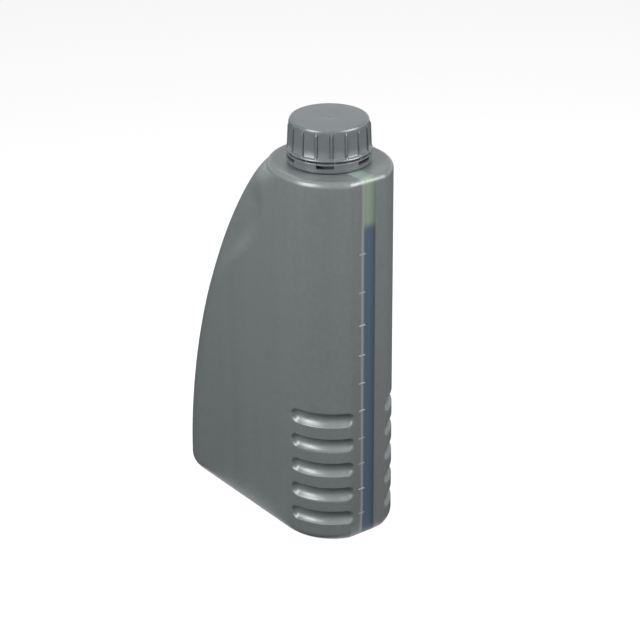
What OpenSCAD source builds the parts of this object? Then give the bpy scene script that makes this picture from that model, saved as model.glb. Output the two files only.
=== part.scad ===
// Compressor oil bottle, about one litre, with a ribbed screw cap.
// Base on z = 0, nose towards +X, tail towards -X, centre plane y = 0.

/* [Body] */
// height of the flat shoulder top
shoulder_height = 206; // [195:0.5:220]
// from the neck's axis to the flat nose land
nose_reach = 33.5; // [30:0.5:38]
// from the neck's axis to the tail at the base
tail_reach = 102.5; // [80:0.5:115]
// from the neck's axis to the back of the shoulder
shoulder_reach = 31.5; // [30:0.5:40]
// half width of the body at the base
half_width = 31.5; // [28:0.5:36]
// share of the section lost from base to shoulder
draft = 0.05; // [0:0.01:0.1]
// centre of the round front, ahead of the neck's axis
front_centre = 3; // [0:0.5:8]
// half width of the flat land on the nose
land_half = 9.5; // [6:0.5:12]
// half width of the tail at the base
tail_half = 29; // [22:0.5:31]
// corner radius of the tail at the base
tail_corner = 26; // [10:1:28]
// power of the tail line
tail_power = 1.85; // [1.4:0.1:3]
// how blunt the tail line meets the shoulder
tail_blunt = 0.807; // [0.6:0.01:1.2]
// round of the base edge
base_round = 5; // [3:0.2:8]
// round of the shoulder edge
shoulder_round = 3; // [2:0.2:6]
// wall thickness
wall = 1.1; // [1:0.1:2]

/* [Base] */
// width of the ring that the bottle stands on
ring_width = 5; // [3:0.5:8]
// rise of the middle of the base
push_up = 2.4; // [1:0.2:4]

/* [Finger grooves] */
// grooves on each side
groove_count = 5; // [3:1:5]
// middle of the lowest groove
groove_low = 15; // [13:0.1:20]
// step from groove to groove
groove_pitch = 14.8; // [12:0.1:18]
// height of a groove
groove_height = 7.8; // [5:0.1:10]
// depth of a groove
groove_depth = 2.5; // [1:0.1:3]
// turn about the front's centre where a groove starts
groove_start = 20; // [18:1:40]
// turn about the front's centre where a groove ends
groove_end = 85; // [70:1:90]

/* [Grip hollow] */
// depth of the hollow in each flank
grip_depth = 3.6; // [1:0.2:6]
// upright front edge, behind the neck's axis
grip_front = 15; // [10:1:30]
// height where the sloping edge meets the front edge
grip_knee = 168; // [150:1:185]
// slope of the lower edge
grip_slope = 43; // [30:1:60]
// height where the hollow runs out
grip_top = 198; // [190:1:204]
// width of its steep edge
grip_edge = 12; // [6:1:24]

/* [Scale marks] */
// height of the lowest mark
mark_low = 15.3; // [12:0.1:20]
// length of a mark
mark_length = 4.5; // [3:0.1:6]
// how far a mark stands off the land
mark_proud = 0.25; // [0.1:0.05:0.5]

/* [Neck] */
// bore of the neck
bore_radius = 15; // [12:0.5:16]
// outer radius of the neck tube
neck_radius = 17; // [16:0.1:17.5]
// thread lead
pitch = 4; // [3:0.5:5]
// thread turns
thread_turns = 1.75; // [1:0.25:2]
// height of a thread ridge off its wall
thread_depth = 1.4; // [0.8:0.1:1.6]

/* [Cap] */
// height of the cap
cap_height = 16; // [14:0.1:20]
// thickness of its top
cap_top = 1.7; // [1:0.1:3]
// outer radius at the top's edge
cap_top_radius = 19.9; // [19.5:0.1:21]
// outer radius at the ribs
cap_radius = 21.2; // [20.5:0.1:23]
// inside radius of the skirt
cap_inside = 18.9; // [18.9:0.1:19.3]
// grip ribs around the skirt
rib_count = 17; // [12:1:30]
// width of a rib
rib_width = 1.1; // [0.6:0.1:2]
// how far a rib stands off the skirt
rib_proud = 0.6; // [0.3:0.1:0.9]
// thickness of the liner disc
liner_thick = 1; // [0.5:0.1:2]

/* [Tamper band] */
// outer radius of the band
band_radius = 21.4; // [20.5:0.1:23]
// height of the band
band_height = 5; // [4.5:0.1:6]
// collar that the band sits on
band_lift = 0.5; // [0.2:0.1:1]
// gap between the band and the skirt
band_gap = 1.1; // [0.6:0.1:1.5]
// windows in the band
slot_count = 6; // [3:1:8]
// turn that one window spans
slot_turn = 23; // [10:1:35]
// height of a window
slot_height = 2; // [1:0.1:2.2]
// snapped bridges between the band and the skirt
bridge_count = 9; // [4:1:16]

/* [Oil] */
// height of the oil level
oil_level = 179; // [120:1:185]

/* [Hidden] */
$fn = 96;
eps = 0.01;
fit_gap = 0.3;

// The neck's axis is set so that the bottle stands centred on the origin.
neck_x = (tail_reach - nose_reach) / 2;

// Heights above the shoulder.
band_z = shoulder_height + band_lift;
skirt_z = band_z + band_height + band_gap;
cap_z = skirt_z + cap_height;
liner_z = cap_z - cap_top - liner_thick;

// Turn at which the round front meets the nose land, and the front's semi axis.
land_turn = asin(land_half / half_width);
front_axis = (nose_reach - front_centre) / cos(land_turn);

// Columns around half of a section, as pairs of a stretch and a place on it:
// 0 nose land, 1 round front by its turn, 2 flank, 3 tail corner, 4 tail end.
front_turns = [
  for (d = [0, 2, 4.5, 8]) groove_start + d,
  for (k = [1 : 3]) groove_start + 8 + (groove_end - groove_start - 16) * k / 4,
  for (d = [8, 4.5, 2, 0]) groove_end - d
];
half_columns = [
  [0, 0], [0, 1],
  for (t = front_turns) [1, t],
  [1, 90],
  for (k = [1 : 7]) [2, k / 8],
  for (v = [0, 18, 36, 53, 69, 82]) [3, v],
  [4, 1]
];
half_count = len(half_columns);
column_count = 2 * half_count - 2;

function clamp01(t) = min(1, max(0, t));
function smooth(t) = let (u = clamp01(t)) u * u * (3 - 2 * u);

// Share of the section left at height z, and the tail line.
function taper(z) = 1 - draft * max(0, z - base_round) / shoulder_height;
function top_half() = half_width * taper(shoulder_height);
function tail_top() = shoulder_height - shoulder_round;
function tail_at(z) =
  shoulder_reach + (tail_reach - shoulder_reach)
    * pow(max(0, 1 - pow(clamp01((z - base_round) / (tail_top() - base_round)), tail_power)), tail_blunt);
function tail_share(z) = (tail_at(z) - shoulder_reach) / (tail_reach - shoulder_reach);

// A point of the section before the grooves and the hollow, by column.
function plain_point(kind, v, z, inset) =
  let (
    g = taper(z),
    w = half_width * g - inset,
    a = front_axis * g - inset,
    nose = front_centre + (nose_reach - front_centre) * g - inset,
    land = acos(min(1, (nose - front_centre) / a)),
    reach = tail_at(z) - inset,
    k = tail_share(z),
    h = tail_half * k + half_width * g * (1 - k) - inset,
    r = min(h, max(1, tail_corner * k + half_width * g * (1 - k) - inset)),
    turn = land + (v - land_turn) * (90 - land) / (90 - land_turn)
  )
  kind == 0 ? [nose, v * w * sin(land)]
  : kind == 1 ? [front_centre + a * cos(turn), w * sin(turn)]
  : kind == 2 ? [front_centre - v * (reach - r + front_centre), w + (h - w) * v]
  : kind == 3 ? [-(reach - r) - r * sin(v), h - r + r * cos(v)]
  : [-reach, 0];

// Depth of the finger grooves at a turn and a height: a row of round ended troughs.
function groove_at(turn, z, grow) =
  let (
    k = round((z - groove_low) / groove_pitch),
    n = min(groove_count - 1, max(0, k)),
    half = groove_height / 2 + grow,
    dz = z - groove_low - n * groove_pitch,
    along = half_width * PI / 180,
    ds = max(0, (groove_start - turn) * along + half - grow, (turn - groove_end) * along + half - grow),
    q = (dz * dz + ds * ds) / (half * half)
  )
  q >= 1 ? 0 : groove_depth * pow(1 - q, 0.7);

// Depth share of the grip hollow at a place on the flank.
function hollow_at(x, z) =
  let (
    d1 = -grip_front - x,
    d2 = -(x + grip_front) * sin(grip_slope) + (z - grip_knee) * cos(grip_slope),
    m = clamp01(0.5 + (d2 - d1) / 28),
    d = d2 * (1 - m) + d1 * m - 7 * m * (1 - m) * 2
  )
  smooth(d / grip_edge) * smooth((x + tail_at(z) - 2) / 28) * (1 - smooth((z - grip_top + 16) / 16));

// A point of the outer or the inner skin.
function skin_point(column, z, inset, grow) =
  let (
    kind = column[0],
    v = column[1],
    p = plain_point(kind, v, z, inset),
    turn = kind == 1 ? v : kind == 0 ? 0 : 90,
    g = kind == 1 ? groove_at(turn, z, grow) : 0,
    nx = cos(turn) / front_axis,
    ny = sin(turn) / half_width,
    nl = sqrt(nx * nx + ny * ny),
    s = kind < 2 ? 0 : hollow_at(p[0], z) * grip_depth / half_width
  )
  [p[0] - g * nx / max(nl, eps), (p[1] - g * ny / max(nl, eps)) * (1 - s)];

// One ring of points right round at height z, the -Y half mirrored from the +Y half.
function ring(z, inset, lift, grow) = [
  for (j = [0 : column_count - 1])
    let (
      i = j < half_count ? j : column_count - j,
      p = skin_point(half_columns[i], z, inset, grow)
    )
    [p[0], j < half_count ? p[1] : -p[1], z + lift]
];

// A ring drawn from the section at height z towards the circle of the neck.
function neck_ring(z, share, radius, inset) = [
  for (j = [0 : column_count - 1])
    let (
      i = j < half_count ? j : column_count - j,
      p = plain_point(half_columns[i][0], half_columns[i][1], shoulder_height, inset),
      turn = atan2(p[1], p[0]),
      q = [p[0] * (1 - share) + radius * cos(turn) * share, p[1] * (1 - share) + radius * sin(turn) * share]
    )
    [q[0], j < half_count ? q[1] : -q[1], z]
];

// Side faces between successive rings, and one flat face at either end.
function side_faces(rows) = [
  for (i = [0 : rows - 2], j = [0 : column_count - 1])
    let (k = (j + 1) % column_count)
    [i * column_count + j, (i + 1) * column_count + j, (i + 1) * column_count + k, i * column_count + k]
];
function end_faces(rows) = [
  [for (j = [0 : column_count - 1]) j],
  [for (j = [column_count : -1 : 1]) (rows - 1) * column_count + j % column_count]
];

module loft(rings) {
  points = [for (r = rings) each r];
  polyhedron(points = points, faces = concat(side_faces(len(rings)), end_faces(len(rings))), convexity = 12);
}

groove_top = groove_low + (groove_count - 1) * groove_pitch + groove_pitch / 2;
outer_steps = [-3.9, -2.9, -1.3, 1.3, 2.9, 3.9];
inner_steps = [-5.4, -2.4, 2.4, 5.4];
free_heights = [
  for (k = [1 : 11]) groove_top + 3 + (tail_top() - groove_top - 10) * k / 11,
  tail_top() - 4.5, tail_top() - 2.4, tail_top() - 1
];

outer_heights = concat(
  [base_round + 1.5],
  [for (n = [0 : groove_count - 1], s = outer_steps) groove_low + n * groove_pitch + s * groove_height / 8.6],
  [groove_top],
  free_heights
);
inner_heights = concat(
  [for (n = [0 : groove_count - 1], s = inner_steps) groove_low + n * groove_pitch + s],
  [for (k = [1 : 2 : 11]) free_heights[k - 1]]
);

// Outer skin from the middle of the base up to the neck, then the inner skin back down.
function outer_rings() = concat(
  [
    ring(0, base_round + ring_width + 5, push_up, 0),
    ring(0, base_round + ring_width + 2.5, push_up * 0.5, 0),
    ring(0, base_round + ring_width, 0, 0),
    ring(0, base_round, 0, 0)
  ],
  [for (k = [1 : 4]) ring(base_round * (1 - cos(22.5 * k)), base_round * (1 - sin(22.5 * k)), 0, 0)],
  [for (z = outer_heights) ring(z, 0, 0, 0)],
  [for (k = [0 : 4])
    ring(shoulder_height - shoulder_round * (1 - sin(22.5 * k)), shoulder_round * (1 - cos(22.5 * k)), 0, 0)]
);
function inner_rings(gap) = concat(
  [for (k = [3 : -1 : 0])
    ring(shoulder_height - shoulder_round * (1 - sin(30 * k)), wall + gap + shoulder_round * (1 - cos(30 * k)), -wall * sin(30 * k), 0)],
  [for (k = [len(inner_heights) - 1 : -1 : 0]) ring(inner_heights[k], wall + gap, 0, 1.2)],
  [
    ring(base_round, wall + gap + 0.4, 0, 0),
    ring(base_round * 0.3, wall + gap + base_round * 0.4, wall + gap - 0.3, 0),
    ring(0, base_round + 1.4, wall + gap, 0),
    ring(0, base_round + ring_width + 1, wall + gap, 0),
    ring(0, base_round + ring_width + 6, push_up + wall, 0)
  ]
);

module body_shell() {
  mouth = (bore_radius + neck_radius) / 2;
  inner_top = shoulder_height - wall;
  loft(concat(
    outer_rings(),
    [neck_ring(shoulder_height, 1, mouth, shoulder_round)],
    [neck_ring(inner_top, 1, mouth, shoulder_round)],
    inner_rings(0)
  ));
}

// A thread ridge that winds up from z: root and crest radii, widths at both.
module thread_ridge(z, root, crest, root_width, crest_width) {
  per_turn = 24;
  steps = round(thread_turns * per_turn);
  points = [
    for (i = [0 : steps])
      let (
        turn = 360 * i / per_turn,
        lift = z + pitch * i / per_turn,
        full = min(1, min(i, steps - i) / 2 + 0.15),
        tip = root + (crest - root) * full,
        half = crest_width / 2 * full + root_width / 2 * (1 - full)
      )
      each [
        for (q = [[root, -root_width / 2], [tip, -half], [tip, half], [root, root_width / 2]])
          [q[0] * cos(turn), q[0] * sin(turn), lift + q[1]]
      ]
  ];
  sides = [
    for (i = [0 : steps - 1], k = [0 : 3])
      let (n = (k + 1) % 4)
      crest > root
        ? [4 * i + k, 4 * i + n, 4 * i + 4 + n, 4 * i + 4 + k]
        : [4 * i + k, 4 * i + 4 + k, 4 * i + 4 + n, 4 * i + n]
  ];
  ends = crest > root
    ? [[3, 2, 1, 0], [4 * steps, 4 * steps + 1, 4 * steps + 2, 4 * steps + 3]]
    : [[0, 1, 2, 3], [4 * steps + 3, 4 * steps + 2, 4 * steps + 1, 4 * steps]];
  polyhedron(points = points, faces = concat(sides, ends), convexity = 8);
}

module neck() {
  bead = neck_radius + 1.7;
  rotate_extrude()
    polygon([
      [bore_radius, shoulder_height - wall / 2],
      [19.2, shoulder_height - wall / 2],
      [19.2, band_z],
      [neck_radius, band_z],
      [neck_radius, band_z + 2.6],
      [bead, band_z + 2.6],
      [bead, band_z + 3.2],
      [neck_radius, band_z + 4.8],
      [neck_radius, liner_z - 0.5],
      [neck_radius - 0.5, liner_z],
      [bore_radius, liner_z]
    ]);
  thread_ridge(skirt_z + 2.6, neck_radius - 0.4, neck_radius + thread_depth, 2, 1);
}

module scale_marks() {
  marks = 10;
  rise = [0, 15, 30.6, 46, 62.4, 78.4, 94.5, 111.6, 130, 151];
  for (k = [0 : marks - 1]) {
    z = mark_low + rise[k];
    nose = front_centre + (nose_reach - front_centre) * taper(z);
    translate([nose - 0.5, -3.3 - mark_length, z - 0.3])
      cube([0.5 + mark_proud, mark_length, 0.6]);
  }
}

module bottle() {
  color([0.46, 0.49, 0.49])
    translate([neck_x, 0, 0])
      union() {
        body_shell();
        neck();
        scale_marks();
      }
}

module oil() {
  color([0.24, 0.34, 0.45])
    translate([neck_x, 0, 0])
      intersection() {
        oil_block();
        translate([-tail_reach, -half_width, 0])
          cube([tail_reach + nose_reach, 2 * half_width, oil_level]);
      }
}

module oil_block() {
  rings = inner_rings(fit_gap);
  loft(rings);
}

module cap() {
  panel = cap_radius - rib_proud;
  inner_top = cap_z - cap_top;
  color([0.42, 0.45, 0.46])
    translate([neck_x, 0, 0])
      union() {
        difference() {
          rotate_extrude()
            polygon([
              [0, skirt_z],
              [cap_radius + 0.3, skirt_z],
              [cap_radius + 0.4, skirt_z + 0.7],
              [panel, skirt_z + 1.6],
              [panel - 0.5, cap_z - 2.4],
              [cap_top_radius, cap_z - 1.5],
              [cap_top_radius - 0.2, cap_z - 0.8],
              [cap_top_radius - 0.7, cap_z - 0.25],
              [cap_top_radius - 1.5, cap_z],
              [2.6, cap_z],
              [1.4, cap_z - 0.35],
              [0, cap_z - 0.35]
            ]);
          rotate_extrude()
            polygon([
              [0, skirt_z - 1],
              [cap_inside + 0.6, skirt_z - 1],
              [cap_inside + 0.6, skirt_z],
              [cap_inside, skirt_z + 0.8],
              [cap_inside, inner_top],
              [0, inner_top]
            ]);
        }
        intersection() {
          for (k = [0 : rib_count - 1])
            rotate([0, 0, 360 * k / rib_count - 37.7])
              translate([cap_inside + 0.5, -rib_width / 2, skirt_z + 0.3])
                cube([4, rib_width, cap_height]);
          rotate_extrude()
            polygon([
              [cap_inside + 0.3, skirt_z],
              [cap_radius, skirt_z],
              [cap_radius - 0.3, cap_z - 3.2],
              [cap_radius - 0.9, cap_z - 2.2],
              [cap_inside + 0.3, cap_z - 2.2]
            ]);
        }
        thread_ridge(skirt_z + 0.9, cap_inside + 0.35, neck_radius + 0.5, 2, 1);
      }
}

module liner() {
  color([0.9, 0.9, 0.88])
    translate([neck_x, 0, liner_z])
      cylinder(r = cap_inside - 0.6, h = liner_thick);
}

module tamper_band() {
  top = band_z + band_height;
  catch = neck_radius + 0.6;
  color([0.42, 0.45, 0.46])
    translate([neck_x, 0, 0])
      union() {
        difference() {
          rotate_extrude()
            polygon([
              [band_radius - 2, band_z],
              [band_radius - 0.3, band_z],
              [band_radius, band_z + 0.6],
              [band_radius, top - 0.4],
              [band_radius - 0.3, top],
              [band_radius - 2, top]
            ]);
          for (k = [0 : slot_count - 1])
            rotate([0, 0, 360 * k / slot_count - 45 - slot_turn / 2])
              rotate_extrude(angle = slot_turn)
                translate([band_radius - 3, top - 0.7 - slot_height])
                  square([4, slot_height]);
        }
        rotate_extrude()
          polygon([
            [catch, band_z],
            [band_radius - 1.8, band_z],
            [band_radius - 1.8, band_z + 2.2],
            [catch + 0.4, band_z + 1.6],
            [catch, band_z + 1]
          ]);
        for (k = [0 : bridge_count - 1])
          rotate([0, 0, 360 * k / bridge_count - 33.6])
            translate([band_radius - 1.6, -0.5, top - 0.2])
              cube([1.1, 1, band_gap - fit_gap + 0.2]);
      }
}

bottle();
oil();
cap();
liner();
tamper_band();
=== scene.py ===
import math

import bmesh
import bpy
from mathutils import Matrix, Vector


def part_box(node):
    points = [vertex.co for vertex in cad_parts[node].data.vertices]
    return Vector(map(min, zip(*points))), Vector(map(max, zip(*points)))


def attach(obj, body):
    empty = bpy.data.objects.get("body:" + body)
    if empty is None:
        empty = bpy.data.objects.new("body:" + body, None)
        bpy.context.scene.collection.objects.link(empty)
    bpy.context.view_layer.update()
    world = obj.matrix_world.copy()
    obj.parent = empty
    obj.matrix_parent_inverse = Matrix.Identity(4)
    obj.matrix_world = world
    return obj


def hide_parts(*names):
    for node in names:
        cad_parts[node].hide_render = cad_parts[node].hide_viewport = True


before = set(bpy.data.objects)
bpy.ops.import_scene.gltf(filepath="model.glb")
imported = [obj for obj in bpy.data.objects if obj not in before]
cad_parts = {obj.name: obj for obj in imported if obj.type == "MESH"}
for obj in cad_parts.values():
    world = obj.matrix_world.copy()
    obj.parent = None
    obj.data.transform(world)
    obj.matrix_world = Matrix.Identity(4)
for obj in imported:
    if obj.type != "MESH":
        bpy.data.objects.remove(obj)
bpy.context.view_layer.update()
print("frame loaded")

mm = 0.001
# every piece is modelled in mm about the neck's axis, then moved here
neckX = sum(corner.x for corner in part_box("liner")) / 2


# camera

shot = {
    "azimuth": 49.03,  # degrees, 0 looks along +Y
    "elevation": 28.09,
    "distance": 0.981,  # metres from the target
    "targetHeight": 0.0912,
    "lens": 104.6,
    "shift": (-0.01427, 0.066),
}
turn, rise = math.radians(shot["azimuth"]), math.radians(shot["elevation"])
towardsCamera = Vector((math.sin(turn) * math.cos(rise), -math.cos(turn) * math.cos(rise), math.sin(rise)))
cameraData = bpy.data.cameras.new("camera")
cameraData.lens = shot["lens"]
cameraData.shift_x, cameraData.shift_y = shot["shift"]
camera = bpy.data.objects.new("camera", cameraData)
camera.location = Vector((neckX, 0, shot["targetHeight"])) + towardsCamera * shot["distance"]
camera.rotation_mode = "QUATERNION"
camera.rotation_quaternion = (-towardsCamera).to_track_quat("-Z", "Y")
bpy.context.scene.collection.objects.link(camera)
bpy.context.scene.camera = camera


# small helpers

def clamp01(value):
    return min(1.0, max(0.0, value))


def smooth(value):
    value = clamp01(value)
    return value * value * (3 - 2 * value)


def linear(hexColour):
    channels = [int(hexColour[k:k + 2], 16) / 255 for k in (1, 3, 5)]
    return tuple(c / 12.92 if c <= 0.04045 else ((c + 0.055) / 1.055) ** 2.4 for c in channels) + (1.0,)


def perMm(size):
    return 1000 / size  # texture scale whose features are this many millimetres wide


def addNode(tree, kind, inputs=None, **settings):
    node = tree.nodes.new(kind)
    for key, value in settings.items():
        setattr(node, key, value)
    for key, value in (inputs or {}).items():
        if isinstance(value, bpy.types.NodeSocket):
            tree.links.new(value, node.inputs[key])
        else:
            node.inputs[key].default_value = value
    return node


def noise(tree, coords, size, detail=2.0):
    texture = addNode(tree, "ShaderNodeTexNoise", {"Vector": coords, "Scale": perMm(size), "Detail": detail})
    return texture.outputs["Fac"]


def calculate(tree, operation, *values):
    return addNode(tree, "ShaderNodeMath", dict(enumerate(values)), operation=operation).outputs["Value"]


def mapRange(tree, value, given, wanted, **settings):
    ends = {"From Min": given[0], "From Max": given[1], "To Min": wanted[0], "To Max": wanted[1]}
    return addNode(tree, "ShaderNodeMapRange", {"Value": value, **ends}, **settings).outputs["Result"]


def mixTones(tree, factor, first, second):
    mix = addNode(tree, "ShaderNodeMix", {"Factor": factor, "A": first, "B": second}, data_type="RGBA")
    return mix.outputs["Result"]


def fineRelief(tree, height, strength):
    bump = addNode(tree, "ShaderNodeBump", {"Height": height, "Strength": strength, "Distance": 0.0001})
    return bump.outputs["Normal"]


def bareMaterial(name):
    material = bpy.data.materials.new(name)
    material.use_nodes = True
    material.node_tree.nodes.clear()
    return material, material.node_tree


def newMaterial(name):
    material, tree = bareMaterial(name)
    shader = addNode(tree, "ShaderNodeBsdfPrincipled")
    addNode(tree, "ShaderNodeOutputMaterial", {"Surface": shader.outputs["BSDF"]})
    coords = addNode(tree, "ShaderNodeTexCoord").outputs["Object"]
    return material, tree, shader, coords


def ringLoft(bm, columnCount, rings):
    # one ring of vertices, extruded from ring to ring; each ring is a function that puts a column in its place
    column = bm.verts.layers.int.new("column")
    first = bmesh.ops.create_circle(bm, segments=columnCount, radius=1)["verts"]
    for k, vert in enumerate(first):
        vert[column] = k
        vert.co = rings[0](k)
    edges = bm.edges[:]
    for ring in rings[1:]:
        made = bmesh.ops.extrude_edge_only(bm, edges=edges)["geom"]
        edges = [item for item in made if isinstance(item, bmesh.types.BMEdge)]
        for vert in (item for item in made if isinstance(item, bmesh.types.BMVert)):
            vert.co = ring(vert[column])
    return column


def finishPiece(bm, name, body, node, materials, sharpAngle=38):
    bmesh.ops.remove_doubles(bm, verts=bm.verts, dist=0.002)
    bmesh.ops.recalc_face_normals(bm, faces=bm.faces)
    bmesh.ops.scale(bm, vec=Vector((mm, mm, mm)), verts=bm.verts)
    bmesh.ops.translate(bm, vec=Vector((neckX, 0, 0)), verts=bm.verts)
    mesh = bpy.data.meshes.new(name)
    bm.to_mesh(mesh)
    bm.free()
    mesh.shade_smooth()
    mesh.set_sharp_from_angle(angle=math.radians(sharpAngle))
    piece = bpy.data.objects.new(name, mesh)
    bpy.context.scene.collection.objects.link(piece)
    for material in materials:
        mesh.materials.append(material)
    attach(piece, body)
    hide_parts(node)
    print(name, "made,", len(mesh.polygons), "faces")
    return piece


def helixRidge(bm, startZ, root, crest, rootWidth, crestWidth, turns, lead):
    # a thread ridge: its four sided section extruded along a helix, run out at both ends
    perTurn = 48
    steps = round(turns * perTurn)

    def ringAt(step):
        full = min(1.0, min(step, steps - step) / 4 + 0.15)
        tip = root + (crest - root) * full
        half = crestWidth / 2 * full + rootWidth / 2 * (1 - full)
        section = [(root, -rootWidth / 2), (tip, -half), (tip, half), (root, rootWidth / 2)]
        angle = 2 * math.pi * step / perTurn
        return lambda k: Vector((
            section[k][0] * math.cos(angle),
            section[k][0] * math.sin(angle),
            startZ + lead * step / perTurn + section[k][1],
        ))

    ridge = bmesh.new()
    ringLoft(ridge, 4, [ringAt(step) for step in range(steps + 1)])
    bmesh.ops.holes_fill(ridge, edges=[edge for edge in ridge.edges if edge.is_boundary], sides=4)
    bmesh.ops.recalc_face_normals(ridge, faces=ridge.faces)
    joinInto(bm, ridge)


def joinInto(bm, other):
    # adds a finished form to a piece that is still being modelled
    mesh = bpy.data.meshes.new("part")
    other.to_mesh(mesh)
    other.free()
    bm.from_mesh(mesh)
    bpy.data.meshes.remove(mesh)


# bottle

bottleShape = {
    "shoulderHeight": 206.0,
    "noseReach": 33.5,  # neck's axis to the flat land on the nose
    "tailReach": 102.5,
    "shoulderReach": 32.0,
    "halfWidth": 31.5,
    "draft": 0.05,
    "frontCentre": 3.0,
    "landNear": 12.5,  # the land runs from here on the near side, and leans back from the seam
    "landFar": 9.5,
    "landSeam": 3.0,
    "landLean": 5.9,  # degrees
    "tailHalf": 29.0,
    "tailCorner": 26.0,
    "tailPower": 1.82,
    "tailBlunt": 0.8,
    "baseRound": 5.0,
    "shoulderRound": 3.0,
    "wall": 1.1,
    "ringWidth": 5.0,
    "pushUp": 2.4,
    "landRows": 0.6,  # height of a row of faces among the grooves
    "wallRows": 2.2,
    "wallTop": 186.0,  # from here up the rows stand closer again
}
grooves = {
    "count": 5,
    "low": 15.0,
    "pitch": 14.8,
    "height": 7.8,
    "depth": 2.5,
    "start": 20.0,  # degrees round the front
    "end": 85.0,
    "edge": 0.7,
    "innerGrow": 1.2,  # how much taller a groove is on the inside of the wall
}
grip = {
    "depth": 3.6,
    "front": 15.0,
    "knee": 168.0,
    "slope": 43.0,
    "top": 198.0,
    "edge": 12.0,
    "kneeRound": 28.0,  # over how much the front edge and the slope run into each other
    "tailGap": 2.0,
    "tailFade": 28.0,
    "topFade": 16.0,
}
marks = {
    "heights": [15.3 + rise for rise in (0, 15, 30.6, 46, 62.4, 78.4, 94.5, 111.6, 130, 151)],
    "left": -7.6,
    "right": -3.7,
    "half": 0.24,
    "proud": 0.25,
}
bottleFinish = {
    "dark": "#646a6a",
    "light": "#6b7171",
    "pearl": 0.22,
    "gloss": (0.33, 0.38),
    "shoulderPaintedLight": "#7f8c89",  # painted light: the strip's paler tone where it lies on the shoulder, for the lip's highlight and light through the clear wall
    "paintedLightHeights": (0.2035, 0.206),  # metres
    "paintedLightShare": 0.5,
}
neckShape = {
    "bore": 15.0,
    "radius": 17.0,
    "collar": 18.6,
    "bandZ": 206.5,
    "skirtZ": 212.6,
    "rimZ": 225.9,
    "pitch": 4.0,
    "turns": 1.75,
    "threadDepth": 1.4,
    "beadProud": 1.7,
    "soft": 0.15,  # small chamfer at the neck's edges
}

b, n = bottleShape, neckShape
# turn about the front's centre where the land meets the round, on the near and on the far side
landTurn = {-1: math.asin(b["landNear"] / b["halfWidth"]), 1: math.asin(b["landFar"] / b["halfWidth"])}
frontAxis = (b["noseReach"] - b["frontCentre"]) / math.cos(landTurn[1])


def taperAt(z):
    return 1 - b["draft"] * max(0.0, z - b["baseRound"]) / b["shoulderHeight"]


def tailAt(z):
    top = b["shoulderHeight"] - b["shoulderRound"]  # the tail runs out under the round of the shoulder
    rise = clamp01((z - b["baseRound"]) / (top - b["baseRound"]))
    share = max(0.0, 1 - rise ** b["tailPower"]) ** b["tailBlunt"]
    return b["shoulderReach"] + (b["tailReach"] - b["shoulderReach"]) * share


def landPoint(y, g, inset):
    # the flat on the nose: square to the axis on the far side, leaning back on the near side
    scale = (b["halfWidth"] * g - inset) / b["halfWidth"]
    nose = b["frontCentre"] + (b["noseReach"] - b["frontCentre"]) * g - inset
    return nose - max(0.0, b["landSeam"] - y) * scale * math.tan(math.radians(b["landLean"])), y * scale


def plainPoint(kind, place, side, z, inset):
    # a point of the section before grooves and hollow; kinds as in columns below
    g = taperAt(z)
    w = b["halfWidth"] * g - inset
    tail = tailAt(z)
    reach = tail - inset
    k = (tail - b["shoulderReach"]) / (b["tailReach"] - b["shoulderReach"])
    h = b["tailHalf"] * k + b["halfWidth"] * g * (1 - k) - inset
    r = min(h, max(1.0, b["tailCorner"] * k + b["halfWidth"] * g * (1 - k) - inset))
    if kind == "land":
        return landPoint(place, g, inset)
    if kind == "front":
        end = landPoint(-b["landNear"] if side < 0 else b["landFar"], g, inset)[0]
        angle = math.radians(place)
        reachOut = (end - b["frontCentre"]) / math.cos(landTurn[side])
        return b["frontCentre"] + reachOut * math.cos(angle), w * math.sin(angle)
    if kind == "flank":
        return b["frontCentre"] - place * (reach - r + b["frontCentre"]), w + (h - w) * place
    angle = math.radians(place)
    return -(reach - r) - r * math.sin(angle), h - r + r * math.cos(angle)


def grooveDepth(angle, z, grow):
    # a row of round ended finger grooves, with softened edges
    number = min(grooves["count"] - 1, max(0, round((z - grooves["low"]) / grooves["pitch"])))
    half = grooves["height"] / 2 + grow
    dz = z - grooves["low"] - number * grooves["pitch"]
    perDegree = math.radians(b["halfWidth"])
    before, after = (grooves["start"] - angle) * perDegree, (angle - grooves["end"]) * perDegree
    ds = max(0.0, before + half - grow, after + half - grow)
    q = math.hypot(dz, ds) / half
    return grooves["depth"] * (1 - q * q) ** grooves["edge"] if q < 1 else 0.0


def gripShare(x, z):
    # how deep the grip hollow is at a place on the flank, 0 to 1
    slope = math.radians(grip["slope"])
    d1 = -grip["front"] - x
    d2 = -(x + grip["front"]) * math.sin(slope) + (z - grip["knee"]) * math.cos(slope)
    m = clamp01(0.5 + (d2 - d1) / grip["kneeRound"])
    d = d2 * (1 - m) + d1 * m - grip["kneeRound"] / 2 * m * (1 - m)
    tailFade = smooth((x + tailAt(z) - grip["tailGap"]) / grip["tailFade"])
    topFade = 1 - smooth((z - grip["top"] + grip["topFade"]) / grip["topFade"])
    return smooth(d / grip["edge"]) * (tailFade * topFade)


def markHeight(y, z):
    # raised scale marks on the land
    if not marks["left"] < y < marks["right"]:
        return 0.0
    return marks["proud"] if any(abs(z - mark) <= marks["half"] for mark in marks["heights"]) else 0.0


def spread(start, end, count):
    # even steps from start to end, without start
    return [start + (end - start) * k / count for k in range(1, count + 1)]


def halfRound(side):
    return (
        [("front", a, side) for a in spread(math.degrees(landTurn[side]), 90, 38)]
        + [("flank", v, side) for v in spread(0, 1, 30)]
        + [("corner", v, side) for v in spread(0, 84, 14)]
    )


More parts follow.
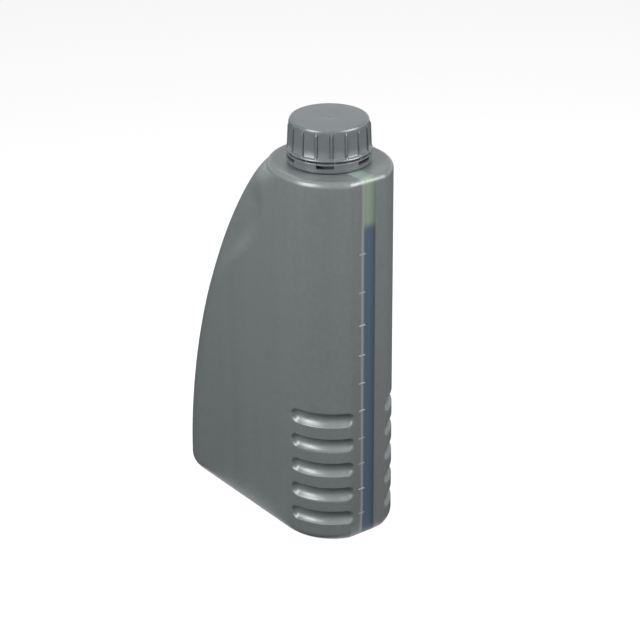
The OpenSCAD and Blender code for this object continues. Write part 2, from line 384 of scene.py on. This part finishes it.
# columns round the section: tail end, near side, nose land from -Y to +Y (mm), far side;
# two columns close together make each end of the marks
markEnds = (marks["left"] - 0.12, marks["left"] + 0.02, marks["right"] - 0.02, marks["right"] + 0.12)
landPlaces = [-12.5, -12.1, -11.5, -10.8, -10.0, -9.1, -8.3, *markEnds[:2], -6.6, -5.6, -4.6, *markEnds[2:]]
landPlaces += [-2.6, -1.4, 0.0, 1.4, 2.6, b["landSeam"], 3.5, 5.0, 6.6, 8.0, 8.9, 9.5]
columns = (
    [("corner", 90, 1)]
    + halfRound(-1)[::-1]
    + [("land", y, 1) for y in landPlaces]
    + halfRound(1)
)
firstLand = columns.index(("land", landPlaces[0], 1))


def landColumn(y):
    return firstLand + landPlaces.index(y)


def skinRing(z, inset=0.0, lift=0.0, grow=0.0, share=1.0, relief=True):
    def place(k):
        kind, v, side = columns[k]
        x, y = plainPoint(kind, v, side, z, inset)
        if relief and (kind == "front" or kind == "land" and v < -8):
            angle = math.asin(v / b["halfWidth"]) if kind == "land" else math.radians(v)
            depth = grooveDepth(abs(math.degrees(angle)), z, grow)
            normal = Vector((math.cos(angle) / frontAxis, math.sin(angle) / b["halfWidth"], 0)).normalized()
            x, y = x - depth * normal.x, y - depth * normal.y
        if kind in ("flank", "corner") and relief:
            y *= 1 - gripShare(x, z) * grip["depth"] / b["halfWidth"]
        if kind == "land" and relief and inset == 0:
            x += markHeight(v, z)
        middle = (b["noseReach"] - b["tailReach"]) / 2
        return Vector((middle + (x - middle) * share, y * side * share, z + lift))

    return place


def neckRing(z, radius, share=1.0):
    # from the shoulder's section to a circle about the neck's axis
    def place(k):
        kind, v, side = columns[k]
        x, y = plainPoint(kind, v, side, b["shoulderHeight"], b["shoulderRound"])
        angle = math.atan2(y, x)
        return Vector((
            x * (1 - share) + radius * math.cos(angle) * share,
            (y * (1 - share) + radius * math.sin(angle) * share) * side,
            z,
        ))

    return place


def outerHeights():
    grooveTop = grooves["low"] + (grooves["count"] - 1) * grooves["pitch"] + grooves["height"] / 2 + 1.5
    top = b["shoulderHeight"] - b["shoulderRound"]
    heights = spread(b["baseRound"], grooveTop, round((grooveTop - b["baseRound"]) / b["landRows"]))[:-1]
    heights += spread(grooveTop, b["wallTop"], round((b["wallTop"] - grooveTop) / b["wallRows"]))
    heights += spread(b["wallTop"], top, 20)
    half = marks["half"]
    for mark in marks["heights"]:  # four rows make the edges of each mark
        heights = [z for z in heights if abs(z - mark) > half + 0.25]
        heights += [mark - half - 0.12, mark - half, mark + half, mark + half + 0.12]
    return sorted(z for z in heights if z < top)


def sineRest(radius, degrees):
    return radius * (1 - math.sin(math.radians(degrees)))


def cosineRest(radius, degrees):
    return radius * (1 - math.cos(math.radians(degrees)))


def innerBase(inset):
    # the inside of the base, from the wall in to its middle
    baseR, ringW = b["baseRound"], b["ringWidth"]
    rings = [
        skinRing(baseR, inset + 0.4),
        skinRing(baseR * 0.3, inset + baseR * 0.4, inset - 0.3),
        skinRing(0, baseR + 1.4, inset),
        skinRing(0, baseR + ringW + 1, inset),
    ]
    return rings + [skinRing(0, baseR + ringW + 6, b["pushUp"] + inset, share=s) for s in (1.0, 0.6, 0.0)]


def neckProfile():
    # radius and height, up the outside from the collar and down the bore
    radius, bore, soft, rim = n["radius"], n["bore"], n["soft"], n["rimZ"]
    bead, beadZ, top = radius + n["beadProud"], n["bandZ"] + 2.6, b["shoulderHeight"]
    return [
        (n["collar"], n["bandZ"] - soft), (n["collar"] - soft, n["bandZ"]), (radius, n["bandZ"]),
        (radius, beadZ), (bead - soft, beadZ), (bead, beadZ + soft), (bead, beadZ + 0.6), (radius, beadZ + 2.2),
        (radius, rim - 0.5), (radius - soft, rim - soft), (radius - 0.5, rim),
        (bore + 0.3, rim), (bore, rim - 0.3), (bore, top - b["wall"] / 2), (bore + 0.6, top - b["wall"]),
    ]


def bottleRings():
    baseR, ringW, rise = b["baseRound"], b["ringWidth"], b["pushUp"]
    top, roundR, wall = b["shoulderHeight"], b["shoulderRound"], b["wall"]
    # the outside, from the middle of the base up to the shoulder
    rings = [skinRing(0, baseR + ringW + 5, rise, share=s) for s in (0.0, 0.3, 0.65, 0.9, 1.0)]
    rings += [skinRing(0, baseR + ringW + 5 * (1 - s), rise * (1 - smooth(s))) for s in (0.25, 0.5, 0.75)]
    rings += [skinRing(0, baseR + ringW), skinRing(0, baseR)]
    rings += [skinRing(cosineRest(baseR, a), sineRest(baseR, a)) for a in (12, 24, 36, 48, 60, 70, 80, 90)]
    rings += [skinRing(z) for z in outerHeights()]
    rings += [skinRing(top - sineRest(roundR, a), cosineRest(roundR, a)) for a in range(0, 91, 10)]
    # over the shoulder, up the neck and down its bore
    rings += [neckRing(top, n["collar"], s) for s in (0.25, 0.5, 0.75, 0.93, 1.0)]
    rings += [neckRing(z, radius) for radius, z in neckProfile()]
    rings += [neckRing(top - wall, n["bore"], s) for s in (0.6, 0.2)]
    # the inside, down to the middle of the base
    for a in range(90, -1, -18):
        sink = -wall * math.sin(math.radians(a))
        rings.append(skinRing(top - sineRest(roundR, a), wall + cosineRest(roundR, a), sink))
    low = grooves["low"] - grooves["height"] / 2
    innerTop = grooves["low"] + (grooves["count"] - 0.5) * grooves["pitch"]
    for start, end, count in ((innerTop, top - 7, 20), (low - 2, innerTop, 50)):
        rings += [skinRing(z, wall, grow=grooves["innerGrow"]) for z in reversed(spread(start, end, count))]
    return rings + innerBase(wall)


stripTones = {
    "left": -6.2,  # mm across the nose where the first tone stands
    "width": 9.9,  # mm that the tones are spread over
    # place across the nose, tone, and how clear the wall is there
    "wet": [
        (-6.2, "#6b7070", 0), (-5.9, "#747b7b", 1), (-5.0, "#757c7d", 1), (-4.2, "#48565b", 1),
        (-3.3, "#414f59", 1), (-1.7, "#40505e", 1), (-0.9, "#3f4f5f", 1), (0.3, "#3d4b57", 1),
        (1.2, "#3a464d", 1), (2.1, "#374146", 1), (2.5, "#4b5355", 1), (2.9, "#676c6c", 0),
    ],
    "dry": [
        (-6.2, "#6b7070", 0), (-5.4, "#717872", 1), (-4.5, "#757e78", 1), (-4.0, "#697769", 1),
        (-3.3, "#687668", 1), (-2.9, "#6f7d70", 1), (-1.8, "#6e7b6e", 1), (-0.3, "#67746a", 1),
        (0.8, "#616f64", 1), (1.4, "#5a685f", 1), (2.1, "#4f5d55", 1), (2.9, "#676c6c", 0),
    ],
    "level": (0.1798, 0.1852),  # metres, where the wall turns from wet to dry
    "waver": 0.003,  # how far the level wanders
    "fan": (0.9, 0.024),  # how much the strip narrows at the foot, and up to what height
    "fanLine": 0.0023,  # the line it narrows about
    "behind": 0.004,  # the strip keeps in front of this, from the neck's axis
}


def addTones(tree, place, tones):
    ramp = addNode(tree, "ShaderNodeValToRGB", {"Fac": place})
    share = addNode(tree, "ShaderNodeValToRGB", {"Fac": place})
    for node in (ramp, share):
        while len(node.color_ramp.elements) < len(tones):
            node.color_ramp.elements.new(0.5)
    for k, (y, colour, amount) in enumerate(tones):
        for node, value in ((ramp, linear(colour)), (share, (amount, amount, amount, 1))):
            node.color_ramp.elements[k].position = (y - stripTones["left"]) / stripTones["width"]
            node.color_ramp.elements[k].color = value
    return ramp.outputs["Color"], share.outputs["Color"]


def pearlHdpe(name):
    # blow moulded HDPE with silver pigment: satin, faint streaks along the parison, fine matt grain;
    # down the nose runs the unpigmented view strip, milky where it is dry inside and dark where the oil wets it, and
    # painted paler on the shoulder as painted light
    material, tree, shader, coords = newMaterial(name)
    finish, strip = bottleFinish, stripTones
    axes = addNode(tree, "ShaderNodeSeparateXYZ", {"Vector": coords}).outputs
    streaks = addNode(tree, "ShaderNodeMapping", {"Vector": coords, "Scale": (1, 1, 0.04)})
    mottle = noise(tree, coords, 2.5, 4.0)
    mixed = calculate(tree, "ADD", noise(tree, streaks.outputs["Vector"], 14, 3.0), mottle)
    tint = mixTones(tree, mapRange(tree, mixed, (0.7, 1.3), (0, 1)), linear(finish["dark"]), linear(finish["light"]))
    # the strip's two looks, and the level between them
    level = calculate(tree, "MULTIPLY_ADD", noise(tree, coords, 5), strip["waver"], axes["Z"])
    wet = mapRange(tree, level, strip["level"], (1, 0), interpolation_type="SMOOTHSTEP")
    narrow, fanTop = strip["fan"]
    fan = mapRange(tree, axes["Z"], (0, fanTop), (narrow, 1), interpolation_type="SMOOTHSTEP")
    fromLine = calculate(tree, "SUBTRACT", axes["Y"], strip["fanLine"])
    across = calculate(tree, "MULTIPLY_ADD", fromLine, fan, strip["fanLine"])
    left = strip["left"] * mm
    place = mapRange(tree, across, (left, left + strip["width"] * mm), (0, 1))
    wetTone, wetShare = addTones(tree, place, strip["wet"])
    dryTone, dryShare = addTones(tree, place, strip["dry"])
    tone = mixTones(tree, wet, dryTone, wetTone)
    share = mixTones(tree, wet, dryShare, wetShare)
    onNose = calculate(tree, "GREATER_THAN", axes["X"], neckX + strip["behind"])
    clear = calculate(tree, "MULTIPLY", share, onNose)
    # painted light: the strip turns paler towards the top of the shoulder, for the lip's highlight and light through
    # the clear wall
    paintedLightAmount = mapRange(tree, axes["Z"], finish["paintedLightHeights"], (0, finish["paintedLightShare"]))
    toneWithPaintedLight = mixTones(tree, paintedLightAmount, tone, linear(finish["shoulderPaintedLight"]))
    wall = mixTones(tree, clear, tint, toneWithPaintedLight)
    pigment = mapRange(tree, clear, (0, 1), (finish["pearl"], 0))
    gloss = mapRange(tree, mottle, (0.3, 0.7), finish["gloss"])
    tree.links.new(wall, shader.inputs["Base Color"])
    tree.links.new(pigment, shader.inputs["Metallic"])
    tree.links.new(gloss, shader.inputs["Roughness"])
    tree.links.new(fineRelief(tree, noise(tree, coords, 0.5), 0.12), shader.inputs["Normal"])
    return material


def paintedHighlightMark(name):
    # the raised marks, painted a paler grey as a highlight where their edges catch the light
    material, tree, shader, coords = newMaterial(name)
    tint = mixTones(tree, noise(tree, coords, 0.9), linear("#7c8383"), linear("#949b9b"))
    tree.links.new(tint, shader.inputs["Base Color"])
    shader.inputs["Roughness"].default_value = 0.4
    return material


def makeBottle():
    bm = bmesh.new()
    column = ringLoft(bm, len(columns), bottleRings())
    markColumns = range(landColumn(markEnds[1]), landColumn(markEnds[2]))
    # the marks' faces take the second material, whose paler grey is a painted highlight
    for face in bm.faces:
        k = min(vert[column] for vert in face.verts)
        centre = face.calc_center_median()
        outside = centre.x > b["noseReach"] - 5
        onMark = any(abs(centre.z - mark) < marks["half"] + 0.1 for mark in marks["heights"])
        if k in markColumns and outside and onMark:
            face.material_index = 1
    helixRidge(bm, n["skirtZ"] + 2.6, n["radius"] - 0.4, n["radius"] + n["threadDepth"], 2, 1, n["turns"], n["pitch"])
    materials = [pearlHdpe("pearl grey HDPE with a clear strip"), paintedHighlightMark("HDPE mark with painted highlight")]
    return finishPiece(bm, "bottle", "bottle", "bottle", materials)


makeBottle()


# oil

oilShape = {"level": 179.0, "gap": 0.3, "meniscus": 0.8}


def compressorOil(name):
    # blue compressor oil: clear liquid, dark in bulk
    material, tree, shader, coords = newMaterial(name)
    tint = mixTones(tree, noise(tree, coords, 20), linear("#2c4868"), linear("#35577b"))
    tree.links.new(tint, shader.inputs["Base Color"])
    shader.inputs["Roughness"].default_value = 0.06
    shader.inputs["IOR"].default_value = 1.47
    return material


def makeOil():
    bm = bmesh.new()
    inset = b["wall"] + oilShape["gap"]
    innerTop = grooves["low"] + (grooves["count"] - 0.5) * grooves["pitch"]
    grow = grooves["innerGrow"]
    heights = spread(b["baseRound"] + 1, innerTop, 48) + spread(innerTop, oilShape["level"], 16)
    rings = innerBase(inset)[::-1] + [skinRing(z, inset, grow=grow) for z in heights]
    for s, dip in ((0.995, 0.25), (0.985, 0.5), (0.96, 0.75), (0.5, 0.8), (0.0, 0.8)):
        rings.append(skinRing(oilShape["level"], inset, lift=-dip * oilShape["meniscus"], grow=grow, share=s))
    ringLoft(bm, len(columns), rings)
    return finishPiece(bm, "oil", "bottle", "oil", [compressorOil("blue compressor oil")])


makeOil()


# screw cap

capShape = {
    "skirtZ": 212.6,
    "topZ": 228.6,
    "topThickness": 1.7,
    "topRadius": 19.9,
    "ribRadius": 21.2,
    "ribProud": 0.6,
    "ribCount": 17,
    "ribFirst": -37.7,  # degrees round from +X
    "ribHalf": 0.34,
    "ribEdge": 0.14,
    "gutter": 0.35,  # the little moulded channel at a rib's foot
    "gutterPlace": 0.58,
    "gutterHalf": 0.27,
    "edgeRound": 1.5,
    "near": [0.18, 0.29, 0.4, 0.5, 0.66, 0.85, 1.5, 2.5, 3.5],  # mm from a rib where its columns stand
    # radius and depth of the gate's dish, with its nub in the middle
    "gate": [
        (0.0, 0.15), (0.45, 0.15), (0.7, 0.32), (1.6, 0.3), (2.4, 0.24), (3.2, 0.12), (3.9, 0.02), (4.5, 0), (9, 0),
    ],
    "inside": 18.9,
    "rimRadius": 21.6,
    "chord": 0.3,  # how far a panel's middle falls inside the round
}


def capMaterial(name):
    # injection moulded polypropylene in silver grey: smoother than the bottle
    material, tree, shader, coords = newMaterial(name)
    mottle = noise(tree, coords, 4, 4.0)
    tree.links.new(mixTones(tree, mottle, linear("#5b6062"), linear("#626769")), shader.inputs["Base Color"])
    tree.links.new(mapRange(tree, mottle, (0.3, 0.7), (0.28, 0.34)), shader.inputs["Roughness"])
    tree.links.new(fineRelief(tree, noise(tree, coords, 0.8), 0.06), shader.inputs["Normal"])
    shader.inputs["Metallic"].default_value = 0.2
    return material


closurePlastic = capMaterial("grey polypropylene closure")


def makeCap():
    c = capShape
    panel = c["ribRadius"] - c["ribProud"]
    step = 360 / c["ribCount"]
    arc = math.radians(step) * panel
    offsets = [-s for s in reversed(c["near"])] + [0.0] + c["near"]
    turns = [math.radians(c["ribFirst"] + step * k) for k in range(c["ribCount"])]
    angles = [(rib + s / panel, s) for rib in turns for s in offsets]

    def capRing(radius, z, rib=0.0, flat=0.0):
        def place(k):
            angle, s = angles[k]
            bump = 1 - smooth((abs(s) - c["ribHalf"] + c["ribEdge"] / 2) / c["ribEdge"])
            dip = flat * c["chord"] * (1 - (1 - abs(s) / (arc / 2)) ** 2)
            gutter = flat * c["gutter"] * max(0.0, 1 - abs(abs(s) - c["gutterPlace"]) / c["gutterHalf"])
            r = radius + rib * c["ribProud"] * bump - (dip + gutter) * (1 - bump)
            return Vector((r * math.cos(angle), r * math.sin(angle), z))
        return place

    top, skirt, inner = c["topZ"], c["skirtZ"], c["topZ"] - c["topThickness"]
    edge, rim, inside = c["edgeRound"], c["rimRadius"], c["inside"]
    shoulder = c["topRadius"] + 0.15
    ribTop, ribFoot = top - 2.2, skirt + 1.7
    rings = [capRing(r, top - drop) for r, drop in c["gate"]]
    rings += [capRing(c["topRadius"] - sineRest(edge, a), top - cosineRest(edge, a)) for a in range(0, 85, 12)]
    for share, rib in ((0.0, 0.0), (0.02, 0.5), (0.05, 0.85), (0.1, 1.0), (0.35, 1.0), (0.65, 1.0), (1.0, 1.0)):
        z = ribTop - share * (ribTop - ribFoot)
        rings.append(capRing(shoulder + (panel - shoulder) * share, z, rib, 0.4 + 0.6 * share))
    # the ribs run out into the flared rim
    for out, up, rib, flat in ((0.12, 1.4, 0.9, 0.8), (0.45, 1.1, 0.7, 0.5), (0.8, 0.85, 0.4, 0.2)):
        rings.append(capRing(panel + out, skirt + up, rib, flat))
    rings += [capRing(rim + out, skirt + up) for out, up in ((-0.1, 0.6), (0, 0.35), (-0.08, 0.1), (-0.3, 0))]
    rings += [capRing(inside + 0.6, skirt), capRing(inside, skirt + 0.8)]
    rings += [capRing(inside, inner - 0.3), capRing(inside - 0.3, inner), capRing(8, inner), capRing(0, inner)]
    bm = bmesh.new()
    ringLoft(bm, len(angles), rings)
    helixRidge(bm, skirt + 0.9, inside + 0.35, n["radius"] + 0.5, 2, 1, n["turns"], n["pitch"])
    return finishPiece(bm, "cap", "cap", "cap", [closurePlastic], 30)


makeCap()


# liner

linerShape = {"radius": 18.3, "thick": 1.0}


def foamLiner(name):
    # foamed polyethylene disc: white, matt, fine closed cells
    material, tree, shader, coords = newMaterial(name)
    voronoi = addNode(tree, "ShaderNodeTexVoronoi", {"Vector": coords, "Scale": perMm(0.7)})
    cells = voronoi.outputs["Distance"]
    tree.links.new(mixTones(tree, cells, linear("#e6e6e0"), linear("#d6d6cf")), shader.inputs["Base Color"])
    tree.links.new(fineRelief(tree, cells, 0.2), shader.inputs["Normal"])
    shader.inputs["Roughness"].default_value = 0.7
    return material


def makeLiner():
    bm = bmesh.new()
    radius, thick = linerShape["radius"], linerShape["thick"]
    bmesh.ops.create_cone(bm, cap_ends=True, segments=96, radius1=radius, radius2=radius, depth=thick)
    bmesh.ops.translate(bm, vec=Vector((0, 0, n["rimZ"] + thick / 2)), verts=bm.verts)
    rims = [edge for edge in bm.edges if abs(edge.verts[0].co.z - edge.verts[1].co.z) < 0.01]
    bmesh.ops.bevel(bm, geom=rims, offset=0.2, segments=2, profile=0.5, affect="EDGES", material=-1)
    return finishPiece(bm, "liner", "liner", "liner", [foamLiner("white foamed liner")])


makeLiner()


# tamper band

bandShape = {
    "radius": 21.4,
    "bottom": 206.5,
    "height": 5.0,
    "wall": 1.1,
    "gap": 1.1,
    "windowCount": 6,
    "windowTurn": 23.0,
    "windowHeight": 2.0,
    "windowDrop": 0.7,  # below the band's top edge
    "windowFirst": -47.0,
    "bridgeCount": 9,
    "bridgeFirst": -33.6,
    "bridgeWidth": 0.8,
    "bridgeLength": 0.9,
    "bridgeInset": 0.6,
    "bridgeSunk": 0.2,
    "steps": 180,
}


def makeBand():
    s = bandShape
    bottom, top, outer = s["bottom"], s["bottom"] + s["height"], s["radius"]
    inner, catch = outer - s["wall"], n["radius"] + 0.6
    winTop, winLow = top - s["windowDrop"], top - s["windowDrop"] - s["windowHeight"]
    pitchTurn = 360 / s["windowCount"]
    firstEdge = s["windowFirst"] - s["windowTurn"] / 2
    profile = [
        (outer - 0.6, bottom), (outer - 0.3, bottom + 0.15), (outer - 0.08, bottom + 0.45), (outer, bottom + 0.8),
        (outer, winLow), (outer, winTop), (outer, top - 0.35), (outer - 0.1, top - 0.1), (outer - 0.35, top),
        (inner + 0.2, top), (inner, top - 0.2), (inner, winTop), (inner, winLow),
        (inner, bottom + 1.9), (catch + 0.4, bottom + 1.4), (catch, bottom + 1), (catch, bottom),
    ]
    bm = bmesh.new()
    corners = [bm.verts.new((radius, 0, z)) for radius, z in profile]
    edges = [bm.edges.new((corners[k], corners[(k + 1) % len(corners)])) for k in range(len(corners))]
    toFirst = Matrix.Rotation(math.radians(firstEdge), 3, "Z")
    bmesh.ops.rotate(bm, cent=(0, 0, 0), matrix=toFirst, verts=bm.verts)
    bmesh.ops.spin(
        bm, geom=corners + edges, cent=(0, 0, 0), axis=(0, 0, 1), angle=2 * math.pi, steps=s["steps"], use_merge=True,
    )

    def turnOf(face):
        centre = face.calc_center_median()
        return math.degrees(math.atan2(centre.y, centre.x))

    def inWindow(face):
        angle = turnOf(face) - s["windowFirst"] + s["windowTurn"] / 2
        return angle % pitchTurn < s["windowTurn"] and winLow < face.calc_center_median().z < winTop

    for number in range(s["windowCount"]):
        start = firstEdge + number * pitchTurn
        holes = [face for face in bm.faces if inWindow(face) and (turnOf(face) - start) % 360 < s["windowTurn"]]
        bmesh.ops.delete(bm, geom=holes, context="FACES")
        bmesh.ops.bridge_loops(bm, edges=[edge for edge in bm.edges if edge.is_boundary])
    bmesh.ops.recalc_face_normals(bm, faces=bm.faces)
    bridgeHeight = s["gap"] - 0.1
    for number in range(s["bridgeCount"]):
        toPlace = Matrix.Rotation(math.radians(s["bridgeFirst"] + 360 / s["bridgeCount"] * number), 3, "Z")
        spot = Vector((outer - s["bridgeInset"], 0, top - s["bridgeSunk"] + bridgeHeight / 2))
        bridge = bmesh.new()
        bmesh.ops.create_cube(bridge, size=1)
        bmesh.ops.scale(bridge, vec=Vector((s["bridgeWidth"], s["bridgeLength"], bridgeHeight)), verts=bridge.verts)
        bmesh.ops.bevel(
            bridge, geom=bridge.edges[:], offset=0.12, segments=2, profile=0.5, affect="EDGES", material=-1,
        )
        bmesh.ops.translate(bridge, vec=spot, verts=bridge.verts)
        bmesh.ops.rotate(bridge, cent=(0, 0, 0), matrix=toPlace, verts=bridge.verts)
        joinInto(bm, bridge)
    return finishPiece(bm, "tamperBand", "bottle", "tamper_band", [closurePlastic], 30)


makeBand()


# floor, world and lights

studio = {
    "floorSize": 6.0,
    "worldStrength": 0.28,
    "skyHigh": 0.5,  # the white of the backdrop falls off to this overhead
    "skyFall": (0.15, 0.6),  # between these heights of the view's direction
    "floorGlow": 0.84,
    "floorGrey": 0.25,
    "aim": (0, 0, 0.1),
    "boxes": [
        {"name": "leftSoftbox", "around": -88.0, "up": 33.0, "away": 0.8, "size": (0.36, 0.62), "power": 9.3},
        {"name": "rightSoftbox", "around": 24.0, "up": 33.0, "away": 0.9, "size": (0.5, 0.62), "power": 11.0},
        {"name": "backSoftbox", "around": 150.0, "up": 60.0, "away": 1.2, "size": (0.8, 0.8), "power": 3.0},
    ],
    # metres from the bottle's middle; the inner edge is narrower across the bottle
    "card": {"start": 0.074, "end": 1.3, "squash": 0.5, "lift": 0.0005, "tone": 0.05},
}


def seenDirectly(tree):
    # 1 for rays that the camera sees straight, in gloss or through something clear
    rays = addNode(tree, "ShaderNodeLightPath").outputs
    seen = calculate(tree, "MAXIMUM", rays["Is Camera Ray"], rays["Is Glossy Ray"])
    return calculate(tree, "MAXIMUM", seen, rays["Is Transmission Ray"])


def mattShader(tree, grey):
    return addNode(tree, "ShaderNodeBsdfDiffuse", {"Color": (grey,) * 3 + (1,)}).outputs["BSDF"]


def layOut(bm, name, material):
    mesh = bpy.data.meshes.new(name)
    bm.to_mesh(mesh)
    bm.free()
    mesh.materials.append(material)
    laid = bpy.data.objects.new(name, mesh)
    bpy.context.scene.collection.objects.link(laid)
    return laid


def makeFloor():
    bm = bmesh.new()
    bmesh.ops.create_grid(bm, x_segments=1, y_segments=1, size=studio["floorSize"] / 2)
    material, tree = bareMaterial("white studio floor")
    glow = calculate(tree, "MULTIPLY", seenDirectly(tree), studio["floorGlow"])
    lit = addNode(tree, "ShaderNodeEmission", {"Color": (1, 1, 1, 1), "Strength": glow})
    matt = mattShader(tree, studio["floorGrey"])
    both = addNode(tree, "ShaderNodeAddShader", {0: matt, 1: lit.outputs["Emission"]})
    addNode(tree, "ShaderNodeOutputMaterial", {"Surface": both.outputs["Shader"]})
    floor = layOut(bm, "floor", material)


def makeCard():
    # a dark ring of card on the floor keeps the walls from washing out;
    # the camera doesn't see it and it casts no shadow
    card = studio["card"]
    bm = bmesh.new()
    ring = bmesh.ops.create_circle(bm, segments=64, radius=card["start"])["verts"]
    made = bmesh.ops.extrude_edge_only(bm, edges=bm.edges[:])["geom"]
    outer = [item for item in made if isinstance(item, bmesh.types.BMVert)]
    widen = card["end"] / card["start"]
    bmesh.ops.scale(bm, vec=Vector((widen, widen, 1)), verts=outer)
    bmesh.ops.scale(bm, vec=Vector((1, card["squash"], 1)), verts=ring)
    bmesh.ops.translate(bm, vec=Vector((0, 0, card["lift"])), verts=bm.verts)
    material, tree = bareMaterial("dark card")
    addNode(tree, "ShaderNodeOutputMaterial", {"Surface": mattShader(tree, card["tone"])})
    sheet = layOut(bm, "card", material)
    sheet.visible_camera = False
    sheet.visible_shadow = False


def makeWorld():
    world = bpy.data.worlds.new("white studio")
    bpy.context.scene.world = world
    world.use_nodes = True
    tree = world.node_tree
    tree.nodes.clear()
    strength = mapRange(tree, seenDirectly(tree), (0, 1), (studio["worldStrength"], 1))
    generated = addNode(tree, "ShaderNodeTexCoord").outputs["Generated"]
    height = addNode(tree, "ShaderNodeSeparateXYZ", {"Vector": generated}).outputs["Z"]
    sky = mapRange(tree, height, studio["skyFall"], (1, studio["skyHigh"]))
    back = addNode(tree, "ShaderNodeBackground", {"Color": sky, "Strength": strength})
    addNode(tree, "ShaderNodeOutputWorld", {"Surface": back.outputs["Background"]})


def addSoftbox(name, place, aim, size, power):
    light = bpy.data.lights.new(name, "AREA")
    light.shape = "RECTANGLE"
    light.size, light.size_y = size
    light.energy = power
    lamp = bpy.data.objects.new(name, light)
    lamp.location = place
    lamp.rotation_mode = "QUATERNION"
    lamp.rotation_quaternion = (Vector(aim) - Vector(place)).to_track_quat("-Z", "Y")
    bpy.context.scene.collection.objects.link(lamp)


makeFloor()
makeCard()
makeWorld()
for box in studio["boxes"]:
    around, up = math.radians(box["around"]), math.radians(box["up"])
    direction = Vector((math.cos(around) * math.cos(up), math.sin(around) * math.cos(up), math.sin(up)))
    spot = direction * box["away"] + Vector(studio["aim"])
    addSoftbox(box["name"], spot, studio["aim"], box["size"], box["power"])
bpy.context.scene.view_settings.view_transform = "Standard"

print("scene finished")
